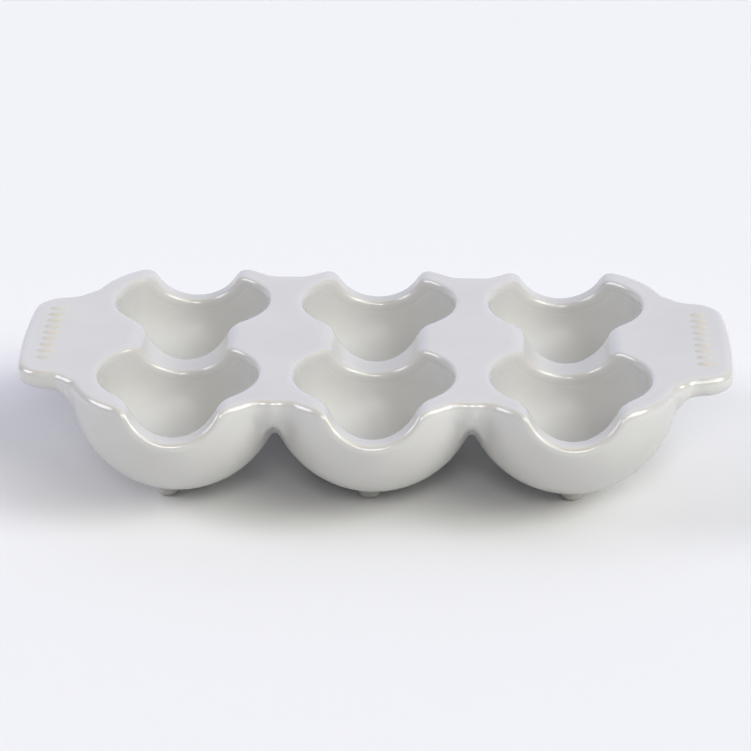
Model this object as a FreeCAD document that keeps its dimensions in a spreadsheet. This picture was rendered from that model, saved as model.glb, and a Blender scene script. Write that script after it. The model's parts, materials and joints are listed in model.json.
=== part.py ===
import FreeCAD, Part
import math
import os

import Sketcher

# Egg holder tray for six eggs, a glazed stoneware casting, in millimetres.
# X runs along the length, Y from front to back and Z up. The origin is on the
# surface that the feet stand on, under the middle of the tray.
#
# The casting is divided along its natural regions, which meet face to face:
# six bowls hang under a thick deck, the deck is two bridges between the
# columns of wells and two end decks, a handle projects from each end deck,
# and each bowl stands on a foot. A finger channel crosses the deck along Y at
# every column of wells, and it is deeper than the deck is thick.

SIZES = [
    ("pitch", 75.0),  # between well centres, along X and along Y
    ("deck_height", 51.2),  # top of the deck
    ("deck_thickness", 8.5),
    ("bowl_radius", 40.8),  # outside of a bowl
    ("bowl_centre_height", 46.4),
    ("well_radius", 30.5),
    ("well_wall_height", 37.0),  # the well's wall is straight above this
    ("well_knuckle_radius", 25.0),
    ("well_floor_height", 10.6),
    ("well_floor_radius", 36.5),
    ("channel_radius", 18.4),  # hollow of a finger channel
    ("channel_axis_rise", 5.3),  # its axis is above the deck
    ("shoulder_radius", 6.4),  # round where a channel meets the deck
    ("waist_radius", 14.0),  # hollow in the outline between two columns
    ("handle_length", 64.0),  # from the end column's centre line
    ("handle_root", 41.5),  # where the handle leaves the end deck
    ("handle_half_width", 39.75),
    ("handle_neck_radius", 14.0),
    ("handle_corner_radius", 9.0),
    ("handle_crown_radius", 370.0),
    ("lip_rounding", 2.2),  # inside edges of the wells
    ("edge_rounding", 2.8),  # outside edges of the deck
    ("underside_rounding", 3.7),  # lower edges of the handles
    ("foot_spread", 3.0),  # feet of the end columns stand this far outboard
    ("foot_offset", -1.6),  # and all the feet this far to the left of their bowls
    ("foot_bottom_radius", 4.3),
    ("foot_top_radius", 7.2),
    ("foot_blank_height", 10.0),  # before its top is cut to the bowl
    ("foot_rounding", 1.5),
    ("bead_spacing", 6.2),
    ("bead_half_width", 2.2),
    ("bead_half_length", 4.2),
    ("bead_rise", 1.0),
    ("bead_inset", 11.5),  # beads' centres to the end of the handle
]
BEADS_PER_HANDLE = 9
COLUMNS = {"left": -1, "middle": 0, "right": 1}
ROWS = {"front": -1, "back": 1}
ENDS = {"left": 0, "right": 180}  # turn about Z, in degrees
Z_AXIS = FreeCAD.Vector(0, 0, 1)
SHARP_ANGLE = math.radians(12)
START, END, CENTRE = 1, 2, 3  # Sketcher's names for an arc's points
ORIGIN, H_AXIS, V_AXIS = (-1, 1), -1, -2

doc = FreeCAD.newDocument("EggTray")
sheet = doc.addObject("Spreadsheet::Sheet", "sizes")
for row_number, (alias, value) in enumerate(SIZES, start=1):
    cell = "A%d" % row_number
    sheet.set(cell, str(value))
    sheet.setAlias(cell, alias)
doc.recompute()
size = dict(SIZES)

pitch = size["pitch"]
half = pitch / 2
deck_bottom = size["deck_height"] - size["deck_thickness"]
DECK_BOTTOM = "sizes.deck_height - sizes.deck_thickness"


# ---------------------------------------------------------------- sketching

def origin_plane(body, role):
    """The body's own origin plane of that role."""
    return next(f for f in body.Origin.OriginFeatures if f.Role == role)


def new_body(name, x_formula, y_formula, turn=0):
    """A body at a place in the tray, turned about Z."""
    body = doc.addObject("PartDesign::Body", name)
    body.Label = name
    body.Placement = FreeCAD.Placement(FreeCAD.Vector(), FreeCAD.Rotation(Z_AXIS, turn))
    body.setExpression("Placement.Base.x", x_formula)
    body.setExpression("Placement.Base.y", y_formula)
    return body


def new_sketch(body, name, role, raised=None):
    """A sketch on an origin plane, raised off it by a formula."""
    sketch = body.newObject("Sketcher::SketchObject", body.Name + "_" + name)
    sketch.AttachmentSupport = (origin_plane(body, role), [""])
    sketch.MapMode = "FlatFace"
    if raised:
        sketch.setExpression("AttachmentOffset.Base.z", raised)
    return sketch


def line(start, end):
    return Part.LineSegment(FreeCAD.Vector(*start, 0), FreeCAD.Vector(*end, 0))


def arc(centre, radius, start, end):
    """The arc from start to end, anticlockwise about its centre."""
    first, last = (math.atan2(p[1] - centre[1], p[0] - centre[0]) for p in (start, end))
    circle = Part.Circle(FreeCAD.Vector(*centre, 0), Z_AXIS, radius)
    return Part.ArcOfCircle(circle, first, last)


def draw(sketch, pieces, joins):
    """Adds the pieces. A join is (piece, its point, next piece, its point, smooth)."""
    first = sketch.GeometryCount
    sketch.addGeometry(pieces, False)
    for piece, point, other, other_point, smooth in joins:
        kind = "Tangent" if smooth else "Coincident"
        sketch.addConstraint(
            Sketcher.Constraint(kind, first + piece, point, first + other, other_point))


def fix(sketch, kind, where, formula, sign=1):
    """A length set by a formula of the sizes. where is a piece or a (piece, point)."""
    sketch.recompute()
    if kind == "Radius":
        number = sketch.addConstraint(Sketcher.Constraint(kind, where, radius_of(sketch, where)))
    else:
        place = sketch.getPoint(*where)
        value = place.x if kind == "DistanceX" else place.y
        number = sketch.addConstraint(Sketcher.Constraint(kind, *ORIGIN, *where, value))
    sketch.setExpression("Constraints[%d]" % number, formula if sign > 0 else "-(%s)" % formula)


def radius_of(sketch, piece):
    return sketch.Geometry[piece].Radius


def on_axis(sketch, piece, point, axis):
    sketch.addConstraint(Sketcher.Constraint("PointOnObject", piece, point, axis))


def upright(sketch, *pieces):
    for piece in pieces:
        sketch.addConstraint(Sketcher.Constraint("Vertical", piece))


def level(sketch, *pieces):
    for piece in pieces:
        sketch.addConstraint(Sketcher.Constraint("Horizontal", piece))


# ---------------------------------------------------------------- features

def pocket_through(body, sketch):
    """Cuts the sketch through the whole body, both ways, and checks that it cut."""
    doc.recompute()
    before = body.Shape.Volume
    pocket = body.newObject("PartDesign::Pocket", sketch.Name + "_cut")
    pocket.Profile = sketch
    pocket.Type = "ThroughAll"
    pocket.SideType = "Symmetric"
    doc.recompute()
    if body.Shape.Volume >= before:
        raise RuntimeError("%s cuts nothing" % sketch.Name)
    return pocket


def revolve(body, sketch):
    """Turns the sketch once about the body's upright axis."""
    turned = body.newObject("PartDesign::Revolution", body.Name + "_turned")
    turned.Profile = sketch
    turned.ReferenceAxis = (sketch, ["V_Axis"])
    turned.Angle = 360
    doc.recompute()
    return turned


def round_edges(body, name, formula, wanted):
    """Rounds every edge of the body for which wanted(edge, its shape) holds."""
    base = body.Tip
    edges = enumerate(base.Shape.Edges, start=1)
    names = ["Edge%d" % number for number, edge in edges if wanted(edge, base.Shape)]
    if not names:
        raise RuntimeError("%s has no edges for %s" % (body.Label, name))
    fillet = body.newObject("PartDesign::Fillet", body.Name + "_" + name)
    fillet.Base = (base, names)
    fillet.setExpression("Radius", formula)
    doc.recompute()
    return fillet


def near(value, target):
    return abs(value - target) < 0.01


def all_along(edge, test):
    """True if the test holds at both ends and the middle of the edge."""
    span = edge.LastParameter - edge.FirstParameter
    return all(test(edge.valueAt(edge.FirstParameter + span * part)) for part in (0, 0.5, 1))


def is_sharp(edge, shape):
    """True where the two faces beside the edge meet at an angle."""
    faces = shape.ancestorsOfType(edge, Part.Face)
    if len(faces) != 2:
        return False
    middle = edge.valueAt((edge.FirstParameter + edge.LastParameter) / 2)
    normals = [face.normalAt(*face.Surface.parameter(middle)) for face in faces]
    return normals[0].getAngle(normals[1]) > SHARP_ANGLE


def is_upright(edge):
    ends = [vertex.Point for vertex in edge.Vertexes]
    return len(ends) == 2 and near(ends[0].x, ends[1].x) and near(ends[0].y, ends[1].y)


# ---------------------------------------------------------------- bowls

def bowl_section(body):
    """Half section of a bowl below the deck: sphere outside, dished well inside."""
    radius, height = size["bowl_radius"], size["bowl_centre_height"]
    knuckle, floor = size["well_knuckle_radius"], size["well_floor_radius"]
    wall_x, wall_z = size["well_radius"], size["well_wall_height"]
    floor_z = size["well_floor_height"]
    rim_x = math.sqrt(radius ** 2 - (height - deck_bottom) ** 2)
    knuckle_centre = (wall_x - knuckle, wall_z)
    floor_centre = (0, floor_z + floor)
    reach = knuckle / math.dist(knuckle_centre, floor_centre)
    meeting = tuple(k + (k - f) * reach for k, f in zip(knuckle_centre, floor_centre))
    sketch = new_sketch(body, "section", "XZ_Plane")
    pieces = [
        arc((0, height), radius, (0, height - radius), (rim_x, deck_bottom)),
        line((rim_x, deck_bottom), (wall_x, deck_bottom)),
        line((wall_x, deck_bottom), (wall_x, wall_z)),
        arc(knuckle_centre, knuckle, meeting, (wall_x, wall_z)),
        arc(floor_centre, floor, (0, floor_z), meeting),
        line((0, floor_z), (0, height - radius)),
    ]
    outside, rim, wall, bend, dish, stem = range(6)
    draw(sketch, pieces, [
        (outside, END, rim, START, False),
        (rim, END, wall, START, False),
        (wall, END, bend, END, True),
        (bend, START, dish, END, True),
        (dish, START, stem, START, False),
        (stem, END, outside, START, False),
    ])
    level(sketch, rim)
    upright(sketch, wall)
    on_axis(sketch, outside, CENTRE, V_AXIS)
    on_axis(sketch, dish, CENTRE, V_AXIS)
    on_axis(sketch, stem, START, V_AXIS)
    on_axis(sketch, stem, END, V_AXIS)
    fix(sketch, "Radius", outside, "sizes.bowl_radius")
    fix(sketch, "Radius", bend, "sizes.well_knuckle_radius")
    fix(sketch, "DistanceY", (outside, CENTRE), "sizes.bowl_centre_height")
    fix(sketch, "DistanceY", (rim, START), DECK_BOTTOM)
    fix(sketch, "DistanceX", (wall, START), "sizes.well_radius")
    fix(sketch, "DistanceY", (wall, END), "sizes.well_wall_height")
    fix(sketch, "DistanceY", (dish, START), "sizes.well_floor_height")
    return sketch


def side_rectangle(body, name, axis, sign):
    """A rectangle on the far side of the plane where two bowls meet."""
    sketch = new_sketch(body, name, "XY_Plane")
    near_side, far_side, reach = sign * half, sign * 2 * pitch, 2 * pitch
    if axis == "X":
        corners = [(near_side, -reach), (far_side, -reach), (far_side, reach), (near_side, reach)]
    else:
        corners = [(-reach, near_side), (-reach, far_side), (reach, far_side), (reach, near_side)]
    sides = [line(corners[n], corners[(n + 1) % 4]) for n in range(4)]
    draw(sketch, sides, [(n, END, (n + 1) % 4, START, False) for n in range(4)])
    if axis == "X":
        level(sketch, 0, 2)
        upright(sketch, 1, 3)
    else:
        upright(sketch, 0, 2)
        level(sketch, 1, 3)
    across, along = ("DistanceX", "DistanceY") if axis == "X" else ("DistanceY", "DistanceX")
    fix(sketch, across, (0, START), "sizes.pitch / 2", sign)
    fix(sketch, across, (0, END), "2 * sizes.pitch", sign)
    fix(sketch, along, (0, START), "2 * sizes.pitch", -1)
    fix(sketch, along, (2, START), "2 * sizes.pitch")
    return sketch


def channel_circle(body):
    """The round hollow of a finger channel, seen along Y."""
    height = size["deck_height"] + size["channel_axis_rise"]
    sketch = new_sketch(body, "channel", "XZ_Plane")
    sketch.addGeometry(Part.Circle(FreeCAD.Vector(0, height, 0), Z_AXIS, size["channel_radius"]))
    on_axis(sketch, 0, CENTRE, V_AXIS)
    fix(sketch, "Radius", 0, "sizes.channel_radius")
    fix(sketch, "DistanceY", (0, CENTRE), "sizes.deck_height + sizes.channel_axis_rise")
    return sketch


def make_bowl(row, column):
    """One bowl below the deck, cut flat where it meets its neighbours."""
    sign_x, sign_y = COLUMNS[column], ROWS[row]
    name = "bowl_%s_%s" % (row, column)
    body = new_body(name, "%d * sizes.pitch" % sign_x, "%d * sizes.pitch / 2" % sign_y)
    revolve(body, bowl_section(body))
    pocket_through(body, side_rectangle(body, "row_side", "Y", -sign_y))
    for side in (-1, 1):
        if sign_x != side:
            side_name = "left_side" if side < 0 else "right_side"
            pocket_through(body, side_rectangle(body, side_name, "X", side))
    pocket_through(body, channel_circle(body))

    round_bowl(body)
    return body


def round_bowl(body):
    """Rounds the channel's edges where it cuts the well and the bowl's outside."""
    channel_z = size["deck_height"] + size["channel_axis_rise"]
    bowl_centre = FreeCAD.Vector(0, 0, size["bowl_centre_height"])

    def on_channel(point):
        return near(math.hypot(point.x, point.z - channel_z), size["channel_radius"])

    def on_well(point):
        return near(math.hypot(point.x, point.y), size["well_radius"])

    def on_outside(point):
        return near((point - bowl_centre).Length, size["bowl_radius"])

    def inside_lip(edge, shape):
        return all_along(edge, on_channel) and all_along(edge, on_well)

    def outside_lip(edge, shape):
        return all_along(edge, on_channel) and all_along(edge, on_outside)

    round_edges(body, "inside_lip", "sizes.lip_rounding", inside_lip)
    round_edges(body, "outside_lip", "sizes.edge_rounding", outside_lip)


# ---------------------------------------------------------------- decks

def channel_section(body, name, centres):
    """Channel hollows with their rounded shoulders, seen along Y, at each centre."""
    sketch = new_sketch(body, name, "XZ_Plane")
    top = size["deck_height"]
    axis_z = top + size["channel_axis_rise"]
    hollow, shoulder = size["channel_radius"], size["shoulder_radius"]
    shoulder_z = top - shoulder
    shoulder_x = math.sqrt((hollow + shoulder) ** 2 - (axis_z - shoulder_z) ** 2)
    part = hollow / (hollow + shoulder)
    touch_x, touch_z = shoulder_x * part, axis_z + (shoulder_z - axis_z) * part
    for centre, formula in centres:
        first = sketch.GeometryCount
        right, left = centre + shoulder_x, centre - shoulder_x
        pieces = [
            arc((centre, axis_z), hollow, (centre - touch_x, touch_z), (centre + touch_x, touch_z)),
            arc((right, shoulder_z), shoulder, (right, top), (centre + touch_x, touch_z)),
            line((right, top), (left, top)),
            arc((left, shoulder_z), shoulder, (centre - touch_x, touch_z), (left, top)),
        ]
        draw(sketch, pieces, [
            (0, END, 1, END, True),
            (1, START, 2, START, True),
            (2, END, 3, END, True),
            (3, START, 0, START, True),
        ])
        level(sketch, first + 2)
        fix(sketch, "Radius", first, "sizes.channel_radius")
        fix(sketch, "Radius", first + 1, "sizes.shoulder_radius")
        fix(sketch, "Radius", first + 3, "sizes.shoulder_radius")
        fix(sketch, "DistanceX", (first, CENTRE), formula)
        fix(sketch, "DistanceY", (first, CENTRE), "sizes.deck_height + sizes.channel_axis_rise")
        fix(sketch, "DistanceY", (first + 2, START), "sizes.deck_height")
    return sketch


def well_circles(body, centres):
    """Straight well mouths in a deck, seen from above, at (x, its formula, row sign)."""
    sketch = new_sketch(body, "wells", "XY_Plane")
    for number, (x, formula, row_sign) in enumerate(centres):
        centre = FreeCAD.Vector(x, row_sign * half, 0)
        sketch.addGeometry(Part.Circle(centre, Z_AXIS, size["well_radius"]))
        fix(sketch, "Radius", number, "sizes.well_radius")
        fix(sketch, "DistanceX", (number, CENTRE), formula)
        fix(sketch, "DistanceY", (number, CENTRE), "sizes.pitch / 2", row_sign)
    return sketch


def pad_deck(body, sketch):
    """Raises the outline from the deck's underside to its top."""
    pad = body.newObject("PartDesign::Pad", body.Name + "_plate")
    pad.Profile = sketch
    pad.setExpression("Length", "sizes.deck_thickness")
    doc.recompute()
    return pad


def round_deck(body, columns, seam_x=None, underside=False):
    """Rounds the lips of the wells on those columns, then the free outside edges."""
    def at_bottom(point):
        return near(point.z, deck_bottom)

    def on_seam(point):
        return seam_x is not None and near(point.x, seam_x)

    def on_well(edge, x):
        return all_along(
            edge, lambda p: near(math.hypot(p.x - x, abs(p.y) - half), size["well_radius"]))

    def is_lip(edge, shape):
        return any(on_well(edge, x) for x in columns) and not all_along(edge, at_bottom)

    def is_free_edge(edge, shape):
        if is_upright(edge) or all_along(edge, at_bottom) or all_along(edge, on_seam):
            return False
        return is_sharp(edge, shape)

    def is_lower_edge(edge, shape):
        return all_along(edge, at_bottom) and not all_along(edge, on_seam)

    if columns:
        round_edges(body, "lips", "sizes.lip_rounding", is_lip)
    round_edges(body, "edges", "sizes.edge_rounding", is_free_edge)
    if underside:
        round_edges(body, "lower_edges", "sizes.underside_rounding", is_lower_edge)


def bridge_outline(body):
    """A bridge from one column's centre line to the next, seen from above."""
    sketch = new_sketch(body, "outline", "XY_Plane", DECK_BOTTOM)
    radius, waist = size["bowl_radius"], size["waist_radius"]
    waist_y = half + math.sqrt((radius + waist) ** 2 - half ** 2)
    part = radius / (radius + waist)
    touch = (half - half * part, half + (waist_y - half) * part)
    end_y = half + radius
    pieces = [
        arc((-half, -half), radius, (-half, -end_y), (-touch[0], -touch[1])),
        arc((0, -waist_y), waist, (touch[0], -touch[1]), (-touch[0], -touch[1])),
        arc((half, -half), radius, (touch[0], -touch[1]), (half, -end_y)),
        line((half, -end_y), (half, end_y)),
        arc((half, half), radius, (half, end_y), touch),
        arc((0, waist_y), waist, (-touch[0], touch[1]), touch),
        arc((-half, half), radius, (-touch[0], touch[1]), (-half, end_y)),
        line((-half, end_y), (-half, -end_y)),
    ]
    draw(sketch, pieces, [
        (0, END, 1, END, True),
        (1, START, 2, START, True),
        (2, END, 3, START, False),
        (3, END, 4, START, False),
        (4, END, 5, END, True),
        (5, START, 6, START, True),
        (6, END, 7, START, False),
        (7, END, 0, START, False),
    ])
    for cup in (0, 2, 4, 6):
        fix(sketch, "Radius", cup, "sizes.bowl_radius")
    for cup, sign_x, sign_y in ((0, -1, -1), (2, 1, -1), (4, 1, 1), (6, -1, 1)):
        fix(sketch, "DistanceX", (cup, CENTRE), "sizes.pitch / 2", sign_x)
        fix(sketch, "DistanceY", (cup, CENTRE), "sizes.pitch / 2", sign_y)
    for hollow in (1, 5):
        fix(sketch, "Radius", hollow, "sizes.waist_radius")
    upright(sketch, 3, 7)
    for side, sign in ((3, 1), (7, -1)):
        fix(sketch, "DistanceX", (side, START), "sizes.pitch / 2", sign)
    return sketch


def make_bridge(side):
    """The deck between two columns of wells, from channel to channel."""
    sign = COLUMNS[side]
    body = new_body("bridge_" + side, "%d * sizes.pitch / 2" % sign, "0")
    pad_deck(body, bridge_outline(body))
    left, right = (-half, "-sizes.pitch / 2"), (half, "sizes.pitch / 2")
    pocket_through(body, channel_section(body, "channels", [left, right]))
    wells = [column + (row_sign,) for column in (left, right) for row_sign in (-1, 1)]
    pocket_through(body, well_circles(body, wells))
    round_deck(body, (-half, half))
    return body


def neck_points():
    """Where the neck's hollow meets the end bowl's round, the seam and the side."""
    radius, neck = size["bowl_radius"], size["handle_neck_radius"]
    neck_y = size["handle_half_width"] + neck
    neck_x = -math.sqrt((radius + neck) ** 2 - (neck_y - half) ** 2)
    part = radius / (radius + neck)
    touch = (neck_x * part, half + (neck_y - half) * part)
    root_x = -size["handle_root"]
    seam = (root_x, neck_y - math.sqrt(neck ** 2 - (root_x - neck_x) ** 2))
    return (neck_x, neck_y), touch, seam


def flip(point):
    """The point's mirror image in the X axis."""
    return (point[0], -point[1])


def end_deck_outline(body):
    """An end deck, from the end column's centre line to the handle's root."""
    sketch = new_sketch(body, "outline", "XY_Plane", DECK_BOTTOM)
    radius, neck = size["bowl_radius"], size["handle_neck_radius"]
    centre, touch, seam = neck_points()
    end_y = half + radius
    pieces = [
        arc((0, half), radius, (0, end_y), touch),
        arc(centre, neck, seam, touch),
        line(seam, flip(seam)),
        arc(flip(centre), neck, flip(touch), flip(seam)),
        arc((0, -half), radius, flip(touch), (0, -end_y)),
        line((0, -end_y), (0, end_y)),
    ]
    draw(sketch, pieces, [
        (0, END, 1, END, True),
        (1, START, 2, START, False),
        (2, END, 3, END, False),
        (3, START, 4, START, True),
        (4, END, 5, START, False),
        (5, END, 0, START, False),
    ])
    neck_centre_y = "sizes.handle_half_width + sizes.handle_neck_radius"
    for cup, hollow, sign in ((0, 1, 1), (4, 3, -1)):
        fix(sketch, "Radius", cup, "sizes.bowl_radius")
        fix(sketch, "Radius", hollow, "sizes.handle_neck_radius")
        on_axis(sketch, cup, CENTRE, V_AXIS)
        fix(sketch, "DistanceY", (cup, CENTRE), "sizes.pitch / 2", sign)
        fix(sketch, "DistanceY", (hollow, CENTRE), neck_centre_y, sign)
    upright(sketch, 2, 5)
    fix(sketch, "DistanceX", (2, START), "sizes.handle_root", -1)
    on_axis(sketch, 5, START, V_AXIS)
    return sketch


def make_end_deck(side):
    """The deck outboard of an end column's channel, up to the handle."""
    sign = COLUMNS[side]
    body = new_body("end_deck_" + side, "%d * sizes.pitch" % sign, "0", ENDS[side])
    pad_deck(body, end_deck_outline(body))
    pocket_through(body, channel_section(body, "channel", [(0, "0")]))
    pocket_through(body, well_circles(body, [(0, "0", -1), (0, "0", 1)]))
    round_deck(body, (0,), seam_x=-size["handle_root"])
    return body


def handle_outline(body):
    """A handle, from its root to its crowned end."""
    sketch = new_sketch(body, "outline", "XY_Plane", DECK_BOTTOM)
    neck, corner = size["handle_neck_radius"], size["handle_corner_radius"]
    crown, side_y = size["handle_crown_radius"], size["handle_half_width"]
    centre, touch, seam = neck_points()
    side_start = (centre[0], side_y)
    crown_x = -size["handle_length"] + crown
    corner_y = side_y - corner
    corner_x = crown_x - math.sqrt((crown - corner) ** 2 - corner_y ** 2)
    part = crown / (crown - corner)
    crown_end = (crown_x + (corner_x - crown_x) * part, corner_y * part)
    side_end = (corner_x, side_y)
    pieces = [
        arc(centre, neck, side_start, seam),
        line(side_start, side_end),
        arc((corner_x, corner_y), corner, side_end, crown_end),
        arc((crown_x, 0), crown, crown_end, flip(crown_end)),
        arc((corner_x, -corner_y), corner, flip(crown_end), flip(side_end)),
        line(flip(side_end), flip(side_start)),
        arc(flip(centre), neck, flip(seam), flip(side_start)),
        line(flip(seam), seam),
    ]
    draw(sketch, pieces, [
        (0, START, 1, START, True),
        (1, END, 2, START, True),
        (2, END, 3, START, True),
        (3, END, 4, START, True),
        (4, END, 5, START, True),
        (5, END, 6, END, True),
        (6, START, 7, START, False),
        (7, END, 0, END, False),
    ])
    for hollow, bend, side, sign in ((0, 2, 1, 1), (6, 4, 5, -1)):
        fix(sketch, "Radius", hollow, "sizes.handle_neck_radius")
        fix(sketch, "Radius", bend, "sizes.handle_corner_radius")
        fix(sketch, "DistanceY", (side, START), "sizes.handle_half_width", sign)
        level(sketch, side)
    neck_centre_x = (
        "sqrt((sizes.bowl_radius + sizes.handle_neck_radius)^2"
        " - (sizes.handle_half_width + sizes.handle_neck_radius - sizes.pitch / 2)^2)")
    fix(sketch, "DistanceX", (0, CENTRE), neck_centre_x, -1)
    fix(sketch, "DistanceX", (6, CENTRE), neck_centre_x, -1)
    fix(sketch, "Radius", 3, "sizes.handle_crown_radius")
    on_axis(sketch, 3, CENTRE, H_AXIS)
    fix(sketch, "DistanceX", (3, CENTRE), "sizes.handle_crown_radius - sizes.handle_length")
    upright(sketch, 7)
    fix(sketch, "DistanceX", (7, START), "sizes.handle_root", -1)
    return sketch


def make_handle(side):
    """The tab that the tray is lifted by, rounded above and below."""
    sign = COLUMNS[side]
    body = new_body("handle_" + side, "%d * sizes.pitch" % sign, "0", ENDS[side])
    pad_deck(body, handle_outline(body))
    round_deck(body, (), seam_x=-size["handle_root"], underside=True)
    return body


# ---------------------------------------------------------------- feet and reliefs

def make_foot(row, column):
    """A tapered stub whose top is cut to the bowl that it carries."""
    sign_x, sign_y = COLUMNS[column], ROWS[row]
    x_formula = "%d * (sizes.pitch + sizes.foot_spread) + sizes.foot_offset" % sign_x
    body = new_body("foot_%s_%s" % (row, column), x_formula, "%d * sizes.pitch / 2" % sign_y)
    bottom, top = size["foot_bottom_radius"], size["foot_top_radius"]
    height = size["foot_blank_height"]
    corners = [(0, 0), (bottom, 0), (top, height), (0, height)]
    sketch = new_sketch(body, "section", "XZ_Plane")
    sides = [line(corners[n], corners[(n + 1) % 4]) for n in range(4)]
    draw(sketch, sides, [(n, END, (n + 1) % 4, START, False) for n in range(4)])
    sketch.addConstraint(Sketcher.Constraint("Coincident", 0, START, *ORIGIN))
    level(sketch, 0, 2)
    upright(sketch, 3)
    fix(sketch, "DistanceX", (0, END), "sizes.foot_bottom_radius")
    fix(sketch, "DistanceX", (2, START), "sizes.foot_top_radius")
    fix(sketch, "DistanceY", (2, START), "sizes.foot_blank_height")
    revolve(body, sketch)
    ball = body.newObject("PartDesign::SubtractiveSphere", body.Name + "_bowl_outside")
    ball.AttachmentSupport = (origin_plane(body, "XY_Plane"), [""])
    ball.MapMode = "FlatFace"
    ball.setExpression("Radius", "sizes.bowl_radius")
    ball.setExpression("AttachmentOffset.Base.x",
                       "%d * sizes.foot_spread - sizes.foot_offset" % -sign_x)
    ball.setExpression("AttachmentOffset.Base.z", "sizes.bowl_centre_height")
    doc.recompute()

    def is_bottom(edge, shape):
        return all_along(edge, lambda point: near(point.z, 0))

    round_edges(body, "bottom_edge", "sizes.foot_rounding", is_bottom)
    return body


def make_relief(side):
    """A row of low egg-shaped beads raised on a handle, as separate solids."""
    sign = COLUMNS[side]
    beads = []
    for number in range(BEADS_PER_HANDLE):
        step = number - (BEADS_PER_HANDLE - 1) / 2
        bead = doc.addObject("Part::Ellipsoid", "bead_%s_%d" % (side, number + 1))
        bead.Angle1 = 0
        bead.setExpression("Radius1", "sizes.bead_rise")
        bead.setExpression("Radius2", "sizes.bead_half_length")
        bead.setExpression("Radius3", "sizes.bead_half_width")
        bead.setExpression("Placement.Base.x",
                           "%d * (sizes.pitch + sizes.handle_length - sizes.bead_inset)" % sign)
        bead.setExpression("Placement.Base.y", "%s * sizes.bead_spacing" % step)
        bead.setExpression("Placement.Base.z", "sizes.deck_height")
        beads.append(bead)
    relief = doc.addObject("Part::Compound", "relief_" + side)
    relief.Label = "relief_" + side
    relief.Links = beads
    relief.Placement = FreeCAD.Placement()
    return relief


# ---------------------------------------------------------------- the tray

sub_parts = [make_bowl(row, column) for row in ROWS for column in COLUMNS]
sub_parts += [make_bridge(side) for side in ENDS]
sub_parts += [make_end_deck(side) for side in ENDS]
sub_parts += [make_handle(side) for side in ENDS]
sub_parts += [make_foot(row, column) for row in ROWS for column in COLUMNS]
sub_parts += [make_relief(side) for side in ENDS]
doc.recompute()

for item in doc.Objects:
    if {"Invalid", "Error"} & set(item.State):
        raise RuntimeError("%s failed: %s" % (item.Name, item.State))
for sub_part in sub_parts:
    if sub_part.Shape.isNull() or not sub_part.Shape.isValid():
        raise RuntimeError("%s has no valid shape" % sub_part.Label)

os.makedirs("parts", exist_ok=True)
for sub_part in sub_parts:
    sub_part.Shape.exportStep("parts/%s.step" % sub_part.Label)
    print("%-18s %8.0f mm3" % (sub_part.Label, sub_part.Shape.Volume))
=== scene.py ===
import json
import math

import bmesh
import bpy
import numpy as np
from mathutils import Matrix, Vector


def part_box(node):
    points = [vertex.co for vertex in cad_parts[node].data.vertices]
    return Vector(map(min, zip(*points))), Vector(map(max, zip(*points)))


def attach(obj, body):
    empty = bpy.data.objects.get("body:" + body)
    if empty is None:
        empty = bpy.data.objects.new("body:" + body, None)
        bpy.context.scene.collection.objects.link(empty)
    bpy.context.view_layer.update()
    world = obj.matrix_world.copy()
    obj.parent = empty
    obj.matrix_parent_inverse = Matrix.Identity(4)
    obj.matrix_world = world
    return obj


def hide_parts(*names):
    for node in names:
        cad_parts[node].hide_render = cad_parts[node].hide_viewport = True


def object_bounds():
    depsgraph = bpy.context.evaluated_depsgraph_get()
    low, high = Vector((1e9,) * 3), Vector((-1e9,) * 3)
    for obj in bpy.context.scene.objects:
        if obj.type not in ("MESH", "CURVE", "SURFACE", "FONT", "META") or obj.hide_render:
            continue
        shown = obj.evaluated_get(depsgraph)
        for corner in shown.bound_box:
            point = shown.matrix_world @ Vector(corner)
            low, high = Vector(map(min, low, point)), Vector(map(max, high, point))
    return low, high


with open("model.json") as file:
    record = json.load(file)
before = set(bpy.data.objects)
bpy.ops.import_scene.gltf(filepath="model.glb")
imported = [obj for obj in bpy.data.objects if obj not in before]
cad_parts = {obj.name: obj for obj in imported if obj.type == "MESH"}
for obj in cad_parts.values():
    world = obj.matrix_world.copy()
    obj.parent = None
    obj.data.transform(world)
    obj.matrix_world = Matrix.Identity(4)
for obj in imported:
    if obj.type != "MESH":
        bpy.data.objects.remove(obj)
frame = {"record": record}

cad_low, cad_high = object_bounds()

# The tray is modelled in millimetres as one distance field, so that its edges
# are as soft as poured glaze leaves them, and then cut into the CAD's pieces.
MM = 0.001


def millimetres(point):
    """A point of the frame, in millimetres."""
    return np.array(point) / MM


# ---------------------------------------------------------------- sizes

bowl_low = millimetres(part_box("bowl_front_left")[0])
half = millimetres(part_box("bowl_front_middle")[1])[0]
pitch = 2 * half
deck_bottom, deck_top = (millimetres(corner)[2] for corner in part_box("bridge_left"))
cap_radius = -pitch - bowl_low[0]  # of the bowl, where the deck cuts it
cap_depth = deck_bottom - bowl_low[2]
bowl_radius = (cap_radius ** 2 + cap_depth ** 2) / (2 * cap_depth)
bowl_centre_z = bowl_low[2] + bowl_radius
handle_end = millimetres(cad_high)[0]
handle_root = millimetres(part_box("handle_right")[0])[0]
well_radius = 30.5
well_wall_z = deck_top - 14.2
well_knuckle = 25.0
well_floor_z = deck_top - 40.6
channel_radius = 18.4
channel_axis_z = deck_top + 5.3
shoulder = 6.4
waist = 14.0
handle_half_width = 39.75
handle_neck = 14.0
handle_corner = 12.0
handle_crown = 370.0
edge_round = 2.95
lip_round = 1.4
underside_round = 4.0
handle_fillet = 7.0  # between a bowl and the handle's underside that overhangs it
waist_fillet = 13.0  # and the same between two columns
fillet_growth = 3.0  # of those fillets, for each millimetre of overhang
channel_lean = 0.6  # of the back row's finger channels, to the left of the wells
bowl_fillet = 3.0  # between two bowls
foot_round = 1.7
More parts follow.
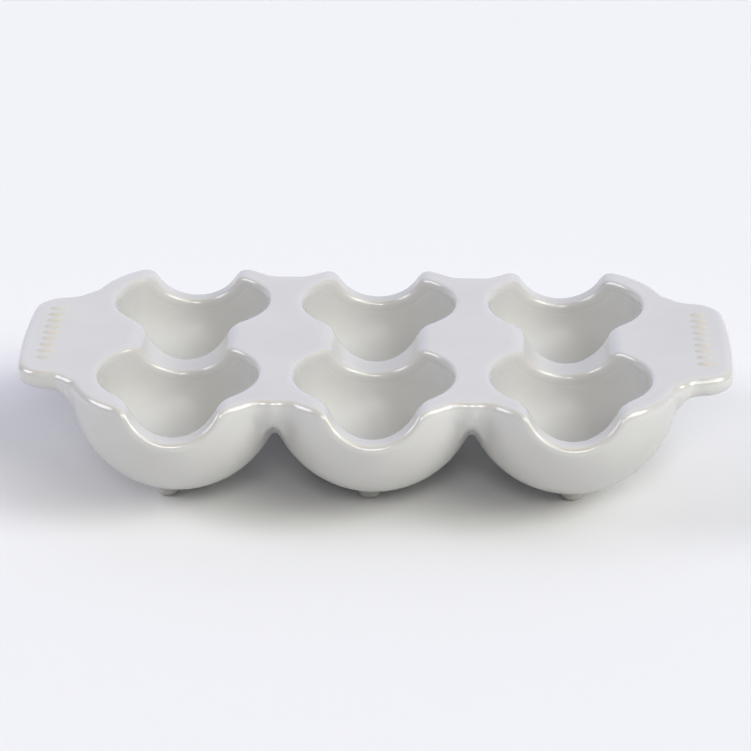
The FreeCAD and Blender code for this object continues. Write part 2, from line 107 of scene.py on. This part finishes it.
foot_flare = 0.29  # how much a foot widens for each millimetre upwards
foot_drop = 0.35  # lets the last smoothing leave the feet on the floor
foot_fillet = 1.2
foot_top_z = 9.0  # inside the bowl
foot_seam_z = 4.0  # the feet are pieces of their own below this
softening = 0.9  # width of the last smoothing
cell = half / 50  # of the distance field's grid
line_reach = 3.0  # how far from an edge the glaze can break over it
deck_seam_z = deck_bottom - cell  # just under the deck's flat underside

COLUMNS = {"left": -1, "middle": 0, "right": 1}
ROWS = {"front": -1, "back": 1}


# ---------------------------------------------------------------- distance field

def round_max(a, b, radius):
    """Intersection of two distances, its edge rounded to the radius."""
    corner = np.hypot(np.maximum(a + radius, 0), np.maximum(b + radius, 0))
    return np.minimum(-radius, np.maximum(a, b)) + corner


def round_min(a, b, radius):
    """Union of two distances, its crease filled to the radius."""
    return -round_max(-a, -b, radius)


def outline(x, y):
    """Distance to the deck's outline, and to the nearest bowl's circle, from above.
    x and y are folded to the quarter where both are positive."""
    column_x = pitch * np.clip(np.round(x / pitch), 0, 1)
    cup = np.hypot(x - column_x, y - half) - bowl_radius
    waist_drop = math.sqrt((bowl_radius + waist) ** 2 - half ** 2)
    waist_dx, waist_dy = x - half, y - half - waist_drop
    in_waist = np.abs(waist_dx) * waist_drop <= -waist_dy * half
    neck_y = handle_half_width + handle_neck
    neck_x = pitch + math.sqrt((bowl_radius + handle_neck) ** 2 - (neck_y - half) ** 2)
    neck_dx, neck_dy = x - neck_x, y - neck_y
    in_neck = (pitch - neck_x) * neck_dy - (half - neck_y) * neck_dx > 0
    crown = np.hypot(x - handle_end + handle_crown, y) - handle_crown
    handle = round_max(y - handle_half_width, crown, handle_corner)
    edge = np.where(in_waist, waist - np.hypot(waist_dx, waist_dy), cup)
    edge = np.where(in_neck, handle_neck - np.hypot(neck_dx, neck_dy), edge)
    edge = np.where(x > neck_x, handle, edge)
    return edge, cup


def deck_surface(x, y, z):
    """Distance to the deck's top with its finger channels, which lean a little."""
    x = x + channel_lean * (half + y) / pitch
    x = np.abs(x - pitch * np.clip(np.round(x / pitch), -1, 1))
    shoulder_z = deck_top - shoulder
    rise = channel_axis_z - shoulder_z
    shoulder_x = math.sqrt((channel_radius + shoulder) ** 2 - rise ** 2)
    dx, dz = x - shoulder_x, z - shoulder_z
    on_shoulder = shoulder_x * dz + rise * dx > 0
    hollow = channel_radius - np.hypot(x, z - channel_axis_z)
    surface = np.where(on_shoulder, np.hypot(dx, dz) - shoulder, hollow)
    return np.where(x >= shoulder_x, z - deck_top, surface)


def well(x, y, z):
    """Distance to the nearest well: a straight wall, a knuckle and a dished floor."""
    x = x - pitch * np.clip(np.round(x / pitch), 0, 1)
    r = np.hypot(x, y - half)
    knuckle_r = well_radius - well_knuckle
    drop = well_wall_z - well_floor_z
    well_floor = (drop ** 2 + knuckle_r ** 2 - well_knuckle ** 2) / (2 * (drop - well_knuckle))
    floor_z = well_floor_z + well_floor
    knuckle = np.hypot(r - knuckle_r, z - well_wall_z) - well_knuckle
    floor = np.hypot(r, z - floor_z) - well_floor
    in_knuckle = (well_wall_z - floor_z) * (r - knuckle_r) - knuckle_r * (z - well_wall_z) < 0
    dish = np.where(in_knuckle, knuckle, floor)
    return np.where(z > well_wall_z, r - well_radius, dish)


def bowls(x, y, z):
    """Distance to the outsides of the bowls: balls with straight walls above them."""
    drop = np.minimum(z - bowl_centre_z, 0)
    rows = []
    for centre_y in (half, -half):
        balls = [np.sqrt((x - centre_x) ** 2 + (y - centre_y) ** 2 + drop ** 2) - bowl_radius
                 for centre_x in (0, pitch)]
        rows.append(round_min(*balls, bowl_fillet))
    return round_min(*rows, bowl_fillet)


def foot(x, y, z, name):
    """Distance to one tapered foot, which ends inside its bowl."""
    low, high = (millimetres(corner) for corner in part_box(name))
    centre = (low + high) / 2
    wall = np.hypot(x - centre[0], y - centre[1]) - (high[0] - low[0]) / 2 - foot_flare * (z - high[2])
    wall = wall / math.hypot(1, foot_flare)
    return round_max(round_max(wall, -z - foot_drop, foot_round), z - foot_top_z, foot_round)


def tray(x, y, z):
    """Distance to the glazed surface, negative inside, and how far each point is across
    the outer rim and across the lip of a well, from the deck's side to the wall's."""
    fold_x, fold_y = np.abs(x), np.abs(y)
    edge, cup = outline(fold_x, fold_y)
    widest = np.where(fold_x > pitch, handle_fillet, waist_fillet)
    overhang = np.clip(fillet_growth * (cup - edge), 0, widest)
    plate = round_max(edge, deck_bottom - z, underside_round)
    walls = round_min(bowls(fold_x, fold_y, z), plate, overhang)
    top = deck_surface(x, y, z)
    body = round_max(walls, top, edge_round)
    hollow = -well(fold_x, fold_y, z)
    rim = np.where(walls > -line_reach, walls - top, -line_reach)
    lip = np.where(hollow > -line_reach, hollow - top, -line_reach)
    body = round_max(body, hollow, lip_round)
    for row in ROWS:
        for column in COLUMNS:
            body = round_min(body, foot(x, y, z, f"foot_{row}_{column}"), foot_fillet)
    return body, rim, lip


def smooth(field, width):
    """Gaussian smoothing of a grid, width in cells."""
    reach = int(math.ceil(3 * width))
    weights = np.exp(-0.5 * (np.arange(-reach, reach + 1) / width) ** 2)
    weights = (weights / weights.sum()).astype(np.float32)
    for axis in range(3):
        pad = [(reach, reach) if n == axis else (0, 0) for n in range(3)]
        padded = np.pad(field, pad, mode="edge")
        size = field.shape[axis]
        field = sum(weight * padded.take(range(n, n + size), axis) for n, weight in enumerate(weights))
    return field


class Field:
    """The tray's distance on a grid, with its slope and its bend."""

    def __init__(self):
        margin = 6 * cell
        low, high = millimetres(cad_low), millimetres(cad_high)
        self.start = np.floor((low - margin) / cell) * cell
        self.start[2] = deck_bottom - math.ceil((deck_bottom + margin) / cell) * cell
        counts = np.ceil((high + margin - self.start) / cell).astype(int) + 1
        axes = [self.start[n] + cell * np.arange(counts[n]) for n in range(3)]
        grid = np.meshgrid(*(axis.astype(np.float32) for axis in axes), indexing="ij")
        self.value = smooth(tray(*grid)[0].astype(np.float32), softening / cell)
        self.slope = [s.astype(np.float32) for s in np.gradient(self.value, cell)]
        bend = sum(np.gradient(s, cell, axis=n) for n, s in enumerate(self.slope))
        self.bend = bend.astype(np.float32)

    def sample(self, grid, points):
        """The grid's value at points, by trilinear interpolation."""
        place = (points - self.start) / cell
        base = np.clip(np.floor(place).astype(int), 0, np.array(grid.shape) - 2)
        part = place - base
        total = np.zeros(len(points))
        for corner in np.ndindex(2, 2, 2):
            weight = np.prod(np.where(corner, part, 1 - part), axis=1)
            total += weight * grid[tuple((base + corner).T)]
        return total

    def normals(self, points):
        slope = np.stack([self.sample(s, points) for s in self.slope], axis=1)
        return slope / np.linalg.norm(slope, axis=1, keepdims=True)

    def settle(self, points):
        """Moves points onto the surface."""
        for _ in range(3):
            slope = np.stack([self.sample(s, points) for s in self.slope], axis=1)
            value = self.sample(self.value, points)
            points = points - slope * (value / (slope ** 2).sum(axis=1))[:, None]
        return points


def surface_net(field):
    """A mesh of the field's zero surface: one point a cell, one face a crossed edge."""
    inside = field.value < 0
    corners = list(np.ndindex(2, 2, 2))
    shape = np.array(inside.shape) - 1
    held = [inside[tuple(slice(c, c + n) for c, n in zip(corner, shape))] for corner in corners]
    count = sum(part.astype(np.int8) for part in held)
    cells = np.argwhere((count > 0) & (count < 8))
    values = np.stack([field.value[tuple((cells + corner).T)] for corner in corners], axis=1)
    total = np.zeros((len(cells), 3))
    crossed = np.zeros(len(cells))
    for a, b in ((a, b) for a in range(8) for b in range(a + 1, 8)):
        step = np.subtract(corners[b], corners[a])
        if np.abs(step).sum() != 1:
            continue
        cut = (values[:, a] < 0) != (values[:, b] < 0)
        gap = np.where(cut, values[:, a] - values[:, b], 1)
        part = values[:, a] / gap
        total += np.where(cut[:, None], corners[a] + part[:, None] * step, 0)
        crossed += cut
    points = field.start + cell * (cells + total / crossed[:, None])
    number = np.full(shape, -1, np.int32)
    number[tuple(cells.T)] = np.arange(len(cells))
    faces = []
    for axis in range(3):
        one, two = (axis + 1) % 3, (axis + 2) % 3
        first = np.moveaxis(inside, axis, 0)[:-1]
        second = np.moveaxis(inside, axis, 0)[1:]
        edges = np.argwhere(first != second)
        outward = first[tuple(edges.T)]
        order = [axis] + [n for n in range(3) if n != axis]
        place = np.empty_like(edges)
        for column, target in enumerate(order):
            place[:, target] = edges[:, column]
        ring = []
        for back_one, back_two in ((1, 1), (0, 1), (0, 0), (1, 0)):
            spot = place.copy()
            spot[:, one] -= back_one
            spot[:, two] -= back_two
            ring.append(number[tuple(spot.T)])
        quads = np.stack(ring, axis=1)
        faces.append(np.where(outward[:, None], quads, quads[:, ::-1]))
    return points, np.concatenate(faces)


# ---------------------------------------------------------------- pieces

def halves(mesh, point, direction):
    """Cuts a closed bmesh by a plane into two closed ones: behind it, and in front."""
    parts = []
    for behind in (True, False):
        part = mesh.copy()
        geometry = part.verts[:] + part.edges[:] + part.faces[:]
        bmesh.ops.bisect_plane(part, geom=geometry, dist=1e-9, plane_co=point, plane_no=direction,
                               clear_outer=behind, clear_inner=not behind)
        rim = [edge for edge in part.edges if edge.is_boundary]
        outward = direction if behind else -direction
        made = bmesh.ops.triangle_fill(part, edges=rim, use_beauty=True, normal=outward)
        for face in (f for f in made["geom"] if isinstance(f, bmesh.types.BMFace)):
            face.normal_update()
            if face.normal.dot(outward) < 0:
                face.normal_flip()
            face.smooth = False
        parts.append(part)
    mesh.free()
    return parts


def cut_across(mesh, axis, places):
    """Cuts a bmesh at each place along an axis, and returns the slices in order."""
    slices = []
    direction = Vector([float(n == axis) for n in range(3)])
    for place in places:
        piece, mesh = halves(mesh, direction * (place * MM), direction)
        slices.append(piece)
    return slices + [mesh]


def split_tray(mesh):
    """Cuts the whole tray into pieces, by the names of the CAD nodes."""
    lower, upper = cut_across(mesh, 2, [deck_seam_z])
    feet, lower = cut_across(lower, 2, [foot_seam_z])
    pieces = {}
    for kind, part in (("foot", feet), ("bowl", lower)):
        for row, row_part in zip(ROWS, cut_across(part, 1, [0])):
            for column, piece in zip(COLUMNS, cut_across(row_part, 0, [-half, half])):
                pieces[f"{kind}_{row}_{column}"] = piece
    deck_names = ("handle_left", "end_deck_left", "bridge_left",
                  "bridge_right", "end_deck_right", "handle_right")
    places = [-handle_root, -pitch, 0, pitch, handle_root]
    for name, piece in zip(deck_names, cut_across(upper, 0, places)):
        pieces[name] = piece
    return pieces


def finish_piece(name, mesh, field, material):
    """Makes an object of a bmesh, with the field's own normals and edge values."""
    data = bpy.data.meshes.new("glazed_" + name)
    mesh.to_mesh(data)
    mesh.free()
    points = np.empty(len(data.vertices) * 3)
    data.vertices.foreach_get("co", points)
    points = points.reshape(-1, 3) / MM
    normals = field.normals(points)
    _, rim, lip = tray(*points.T)
    for layer, values in (("bend", field.sample(field.bend, points)), ("rim", rim), ("lip", lip)):
        attribute = data.attributes.new(layer, "FLOAT", "POINT")
        attribute.data.foreach_set("value", values.astype(np.float32))
    loops = np.empty(len(data.loops), np.int32)
    data.loops.foreach_get("vertex_index", loops)
    loop_normals = normals[loops]
    for face in data.polygons:
        if not face.use_smooth:
            loop_normals[face.loop_start:face.loop_start + face.loop_total] = face.normal
    data.normals_split_custom_set(loop_normals.tolist())
    piece = bpy.data.objects.new("glazed_" + name, data)
    bpy.context.scene.collection.objects.link(piece)
    data.materials.append(material)
    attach(piece, "root")
    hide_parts(name)


# ---------------------------------------------------------------- materials

THIN = (1.0, 0.93, 0.82)  # what thin glaze on an edge makes of the tint
POOLED = (0.90, 0.92, 0.94)  # and thick glaze in a hollow
MOTTLED = (0.955, 0.955, 0.955)  # and the cloudy patches
PINHOLE = (0.16, 0.14, 0.12)
BARE_CLAY = (0.62, 0.53, 0.42)
GLOSSY = 0.08  # roughness of the coat, which only tight edges have
SATIN, DEEP_SATIN = 0.27, 0.5  # roughness of open faces, and deep in a well
TIGHT_BEND = (0.08, 0.24)  # per millimetre: between these an edge gains its coat
HOLLOW_BEND = (-0.10, -0.30)  # and between these glaze pools
WELL_DEPTHS = (3, 18)  # millimetres down a well's wall: between these its gloss dulls
BARE_HEIGHTS = (0.0009, 0.0005)  # metres: between these a foot's glaze ends in bare clay
# The lines where glaze breaks over an edge: layer, its value there, half width, strength.
BREAKS = (("rim", -0.6, 1.3, 0.9), ("lip", -0.3, 0.9, 0.7))
# How fine each pattern is, in repeats a metre.
CLOUDS, PATCHES, PORES, PORE_GROUPS, RIPPLES = 28, 140, 55, 9, 60


def glaze(name, tint):
    """Glossy off-white stoneware glaze: it thins and warms on edges and pools in hollows."""

    def changed(factors):
        return tuple(c * k for c, k in zip(tint, factors))

    material = bpy.data.materials.new(name)
    material.use_nodes = True
    nodes, links = material.node_tree.nodes, material.node_tree.links
    shader = nodes["Principled BSDF"]
    shader.inputs["IOR"].default_value = 1.5
    shader.inputs["Coat Roughness"].default_value = GLOSSY
    place = nodes.new("ShaderNodeTexCoord").outputs["Object"]

    def noise(scale, detail=3.0):
        texture = nodes.new("ShaderNodeTexNoise")
        texture.inputs["Scale"].default_value = scale
        texture.inputs["Detail"].default_value = detail
        links.new(place, texture.inputs["Vector"])
        return texture.outputs["Fac"]

    def remap(value, low, high, to_low=0.0, to_high=1.0):
        node = nodes.new("ShaderNodeMapRange")
        node.interpolation_type = "SMOOTHSTEP"
        limits = {"From Min": low, "From Max": high, "To Min": to_low, "To Max": to_high}
        for key, number in limits.items():
            node.inputs[key].default_value = number
        links.new(value, node.inputs["Value"])
        return node.outputs["Result"]

    def mix(factor, first, second):
        node = nodes.new("ShaderNodeMix")
        node.data_type = "RGBA"
        links.new(factor, node.inputs["Factor"])
        for key, colour in (("A", first), ("B", second)):
            socket = next(s for s in node.inputs if s.name == key and s.type == "RGBA")
            if isinstance(colour, tuple):
                socket.default_value = (*colour, 1)
            else:
                links.new(colour, socket)
        return next(s for s in node.outputs if s.type == "RGBA")

    def multiply(first, second):
        node = nodes.new("ShaderNodeMath")
        node.operation = "MULTIPLY"
        links.new(first, node.inputs[0])
        links.new(second, node.inputs[1])
        return node.outputs[0]

    def attribute(layer):
        node = nodes.new("ShaderNodeAttribute")
        node.attribute_name = layer
        return node.outputs["Fac"]

    def line(layer, centre, width):
        """A soft line where the layer's value passes the centre."""
        offset = nodes.new("ShaderNodeMath")
        offset.operation = "SUBTRACT"
        links.new(attribute(layer), offset.inputs[0])
        offset.inputs[1].default_value = centre
        size = nodes.new("ShaderNodeMath")
        size.operation = "ABSOLUTE"
        links.new(offset.outputs[0], size.inputs[0])
        return remap(size.outputs[0], width, 0.2 * width)

    links.new(remap(attribute("bend"), *TIGHT_BEND), shader.inputs["Coat Weight"])
    links.new(remap(attribute("lip"), *WELL_DEPTHS, SATIN, DEEP_SATIN), shader.inputs["Roughness"])
    mottle = mix(remap(noise(CLOUDS), 0.3, 0.7), tint, changed(MOTTLED))
    broken = mix(remap(attribute("bend"), *HOLLOW_BEND, 0, 0.5), mottle, changed(POOLED))
    for layer, centre, width, strength in BREAKS:
        patchy = remap(noise(PATCHES), 0.3, 0.65, 0.35 * strength, strength)
        broken = mix(multiply(line(layer, centre, width), patchy), broken, changed(THIN))
    pores = nodes.new("ShaderNodeTexVoronoi")
    pores.inputs["Scale"].default_value = PORES
    links.new(place, pores.inputs["Vector"])
    pore = multiply(remap(pores.outputs["Distance"], 0.035, 0.02), remap(noise(PORE_GROUPS), 0.60, 0.66))
    speckled = mix(pore, broken, PINHOLE)
    height = nodes.new("ShaderNodeSeparateXYZ")
    links.new(place, height.inputs[0])
    bare = remap(height.outputs["Z"], *BARE_HEIGHTS)
    links.new(mix(bare, speckled, BARE_CLAY), shader.inputs["Base Color"])
    bump = nodes.new("ShaderNodeBump")
    bump.inputs["Strength"].default_value = 0.1
    bump.inputs["Distance"].default_value = 0.0002
    links.new(noise(RIPPLES, 1.0), bump.inputs["Height"])
    links.new(bump.outputs["Normal"], shader.inputs["Normal"])
    links.new(bump.outputs["Normal"], shader.inputs["Coat Normal"])
    return material


# ---------------------------------------------------------------- relief

BEADS = 9
BEAD_RINGS = 10
BEAD_SIDES = 40
BEAD_SHARE = 0.36  # half a bead's width, as a share of the row's length for each
BEAD_TAPER = 0.16  # makes an egg of an oval
BEAD_SINK = 0.05  # how far a bead's rim lies under the deck
BEAD_ROOT = 0.4  # how far its closed base lies under that
THIN_RING = 0.62  # where along its slope the glaze is thinnest


def relief(side, material):
    """A row of low egg-shaped beads, their rims running out into the glaze."""
    low, high = (millimetres(corner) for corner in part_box("relief_" + side))
    centre_x = (low[0] + high[0]) / 2
    half_length = (high[0] - low[0]) / 2
    rise = high[2] - deck_top
    bead_width = (high[1] - low[1]) / BEADS * BEAD_SHARE
    step = (high[1] - low[1] - 2 * bead_width) / (BEADS - 1)
    mesh = bmesh.new()
    rim = mesh.verts.layers.float.new("rim")
    for number in range(BEADS):
        centre_y = low[1] + bead_width + step * number
        rings = []
        for ring in range(BEAD_RINGS + 1):
            part = ring / BEAD_RINGS
            slope = 0.5 + 0.5 * math.cos(math.pi * part ** 1.6)
            height = deck_top - BEAD_SINK + (rise + BEAD_SINK) * slope
            verts = []
            for corner in range(BEAD_SIDES if ring else 1):
                turn = 2 * math.pi * corner / BEAD_SIDES
                along = half_length * part * math.cos(turn)
                across = bead_width * part * math.sin(turn) * (1 - BEAD_TAPER * math.cos(turn))
                vert = mesh.verts.new(((centre_x + along) * MM, (centre_y + across) * MM, height * MM))
                vert[rim] = 4 * abs(part - THIN_RING) + 0.15
                verts.append(vert)
            rings.append(verts)
        for corner in range(BEAD_SIDES):
            after = (corner + 1) % BEAD_SIDES
            mesh.faces.new((rings[0][0], rings[1][corner], rings[1][after]))
            for inner, outer in zip(rings[1:], rings[2:]):
                mesh.faces.new((inner[corner], outer[corner], outer[after], inner[after]))
        base = [mesh.verts.new(vert.co - Vector((0, 0, BEAD_ROOT * MM))) for vert in rings[-1]]
        for corner in range(BEAD_SIDES):
            after = (corner + 1) % BEAD_SIDES
            mesh.faces.new((rings[-1][corner], base[corner], base[after], rings[-1][after]))
        mesh.faces.new(base[::-1])
    for face in mesh.faces:
        face.smooth = True
    data = bpy.data.meshes.new("glazed_relief_" + side)
    mesh.to_mesh(data)
    mesh.free()
    data.materials.append(material)
    piece = bpy.data.objects.new("glazed_relief_" + side, data)
    bpy.context.scene.collection.objects.link(piece)
    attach(piece, "root")
    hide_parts("relief_" + side)


# ---------------------------------------------------------------- stage, light and camera

# The studio's panels: azimuth from the front towards +X, elevation, half the angle over
# which each is evenly bright, half the angle that its faded edge reaches, and its light.
PANELS = (
    (0, 34, 8, 12, (8.2, 8.1, 8.3)),
    (38, 42, 13, 19, (3.6, 3.6, 3.25)),
    (75, 32, 13, 19, (6.0, 5.95, 5.5)),
    (80, 52, 13, 19, (1.8, 1.9, 2.4)),
    (-90, 28, 13, 19, (4.9, 4.9, 5.3)),
    (180, 26, 20, 75, (0.77, 0.78, 0.94)),
)


def make_floor():
    bpy.ops.mesh.primitive_plane_add(size=6, location=(0, 0, 0))
    floor = bpy.context.object
    floor.name = "floor"
    material = bpy.data.materials.new("pale_floor")
    material.use_nodes = True
    shader = material.node_tree.nodes["Principled BSDF"]
    shader.inputs["Base Color"].default_value = (0.8, 0.8, 0.8, 1)
    shader.inputs["Roughness"].default_value = 0.8
    floor.data.materials.append(material)


def make_world():
    """A dark studio with soft bright panels round the tray, as one smooth sky."""
    world = bpy.data.worlds.new("studio")
    world.use_nodes = True
    nodes, links = world.node_tree.nodes, world.node_tree.links
    direction = nodes.new("ShaderNodeTexCoord").outputs["Generated"]
    total = None
    for azimuth, elevation, even, faded, colour in PANELS:
        azimuth, elevation = math.radians(azimuth), math.radians(elevation)
        facing = nodes.new("ShaderNodeVectorMath")
        facing.operation = "DOT_PRODUCT"
        links.new(direction, facing.inputs[0])
        facing.inputs[1].default_value = (math.sin(azimuth) * math.cos(elevation),
                                          -math.cos(azimuth) * math.cos(elevation),
                                          math.sin(elevation))
        fade = nodes.new("ShaderNodeMapRange")
        fade.interpolation_type = "SMOOTHSTEP"
        links.new(facing.outputs["Value"], fade.inputs["Value"])
        fade.inputs["From Min"].default_value = math.cos(math.radians(faded))
        fade.inputs["From Max"].default_value = math.cos(math.radians(even))
        panel = nodes.new("ShaderNodeVectorMath")
        panel.operation = "SCALE"
        panel.inputs[0].default_value = colour
        links.new(fade.outputs["Result"], panel.inputs["Scale"])
        if total is None:
            total = panel.outputs["Vector"]
        else:
            add = nodes.new("ShaderNodeVectorMath")
            links.new(total, add.inputs[0])
            links.new(panel.outputs["Vector"], add.inputs[1])
            total = add.outputs["Vector"]
    links.new(total, nodes["Background"].inputs["Color"])
    bpy.context.scene.world = world


def make_camera():
    """A long lens in front of the tray, looking a little down on it."""
    elevation, azimuth, roll = (math.radians(angle) for angle in (23.21, 1.443, 0.055))
    distance = 17.406 * pitch
    aim = np.array([-0.0146, 0.3915, 0.289]) * pitch
    back = Vector((math.sin(azimuth) * math.cos(elevation),
                   -math.cos(azimuth) * math.cos(elevation), math.sin(elevation)))
    right = (-back).cross(Vector((0, 0, 1))).normalized()
    up = right.cross(-back)
    turned_right = right * math.cos(roll) + up * math.sin(roll)
    turned_up = -right * math.sin(roll) + up * math.cos(roll)
    lens = bpy.data.cameras.new("camera")
    lens.sensor_width = 36
    lens.lens = 154.9
    lens.clip_start, lens.clip_end = 0.1, 20
    camera = bpy.data.objects.new("camera", lens)
    turn = Matrix((turned_right, turned_up, back)).transposed().to_4x4()
    camera.matrix_world = Matrix.Translation(Vector(aim * MM) + back * distance * MM) @ turn
    bpy.context.scene.collection.objects.link(camera)
    bpy.context.scene.camera = camera


# ---------------------------------------------------------------- the scene

deck_glaze = glaze("deck_glaze", (0.60, 0.595, 0.575))
bowl_glaze = glaze("bowl_glaze", (0.60, 0.595, 0.57))

tray_field = Field()
net_points, net_faces = surface_net(tray_field)
net_points = tray_field.settle(net_points)
net_points[:, 2] = np.maximum(net_points[:, 2], 0)
whole = bpy.data.meshes.new("whole")
whole.from_pydata((net_points * MM).tolist(), [], net_faces.tolist())
for polygon in whole.polygons:
    polygon.use_smooth = True
tray_mesh = bmesh.new()
tray_mesh.from_mesh(whole)
bpy.data.meshes.remove(whole)

slots = {part["node"]: part["material_slot"] for part in frame["record"]["subparts"]}
finishes = {"deck_glaze": deck_glaze, "bowl_glaze": bowl_glaze}
for piece_name, piece_mesh in split_tray(tray_mesh).items():
    piece_slot = slots[piece_name]
    finish_piece(piece_name, piece_mesh, tray_field, finishes[piece_slot])
for handle_side in ("left", "right"):
    relief(handle_side, deck_glaze)

make_floor()
make_world()
make_camera()
bpy.context.scene.view_settings.view_transform = "Standard"
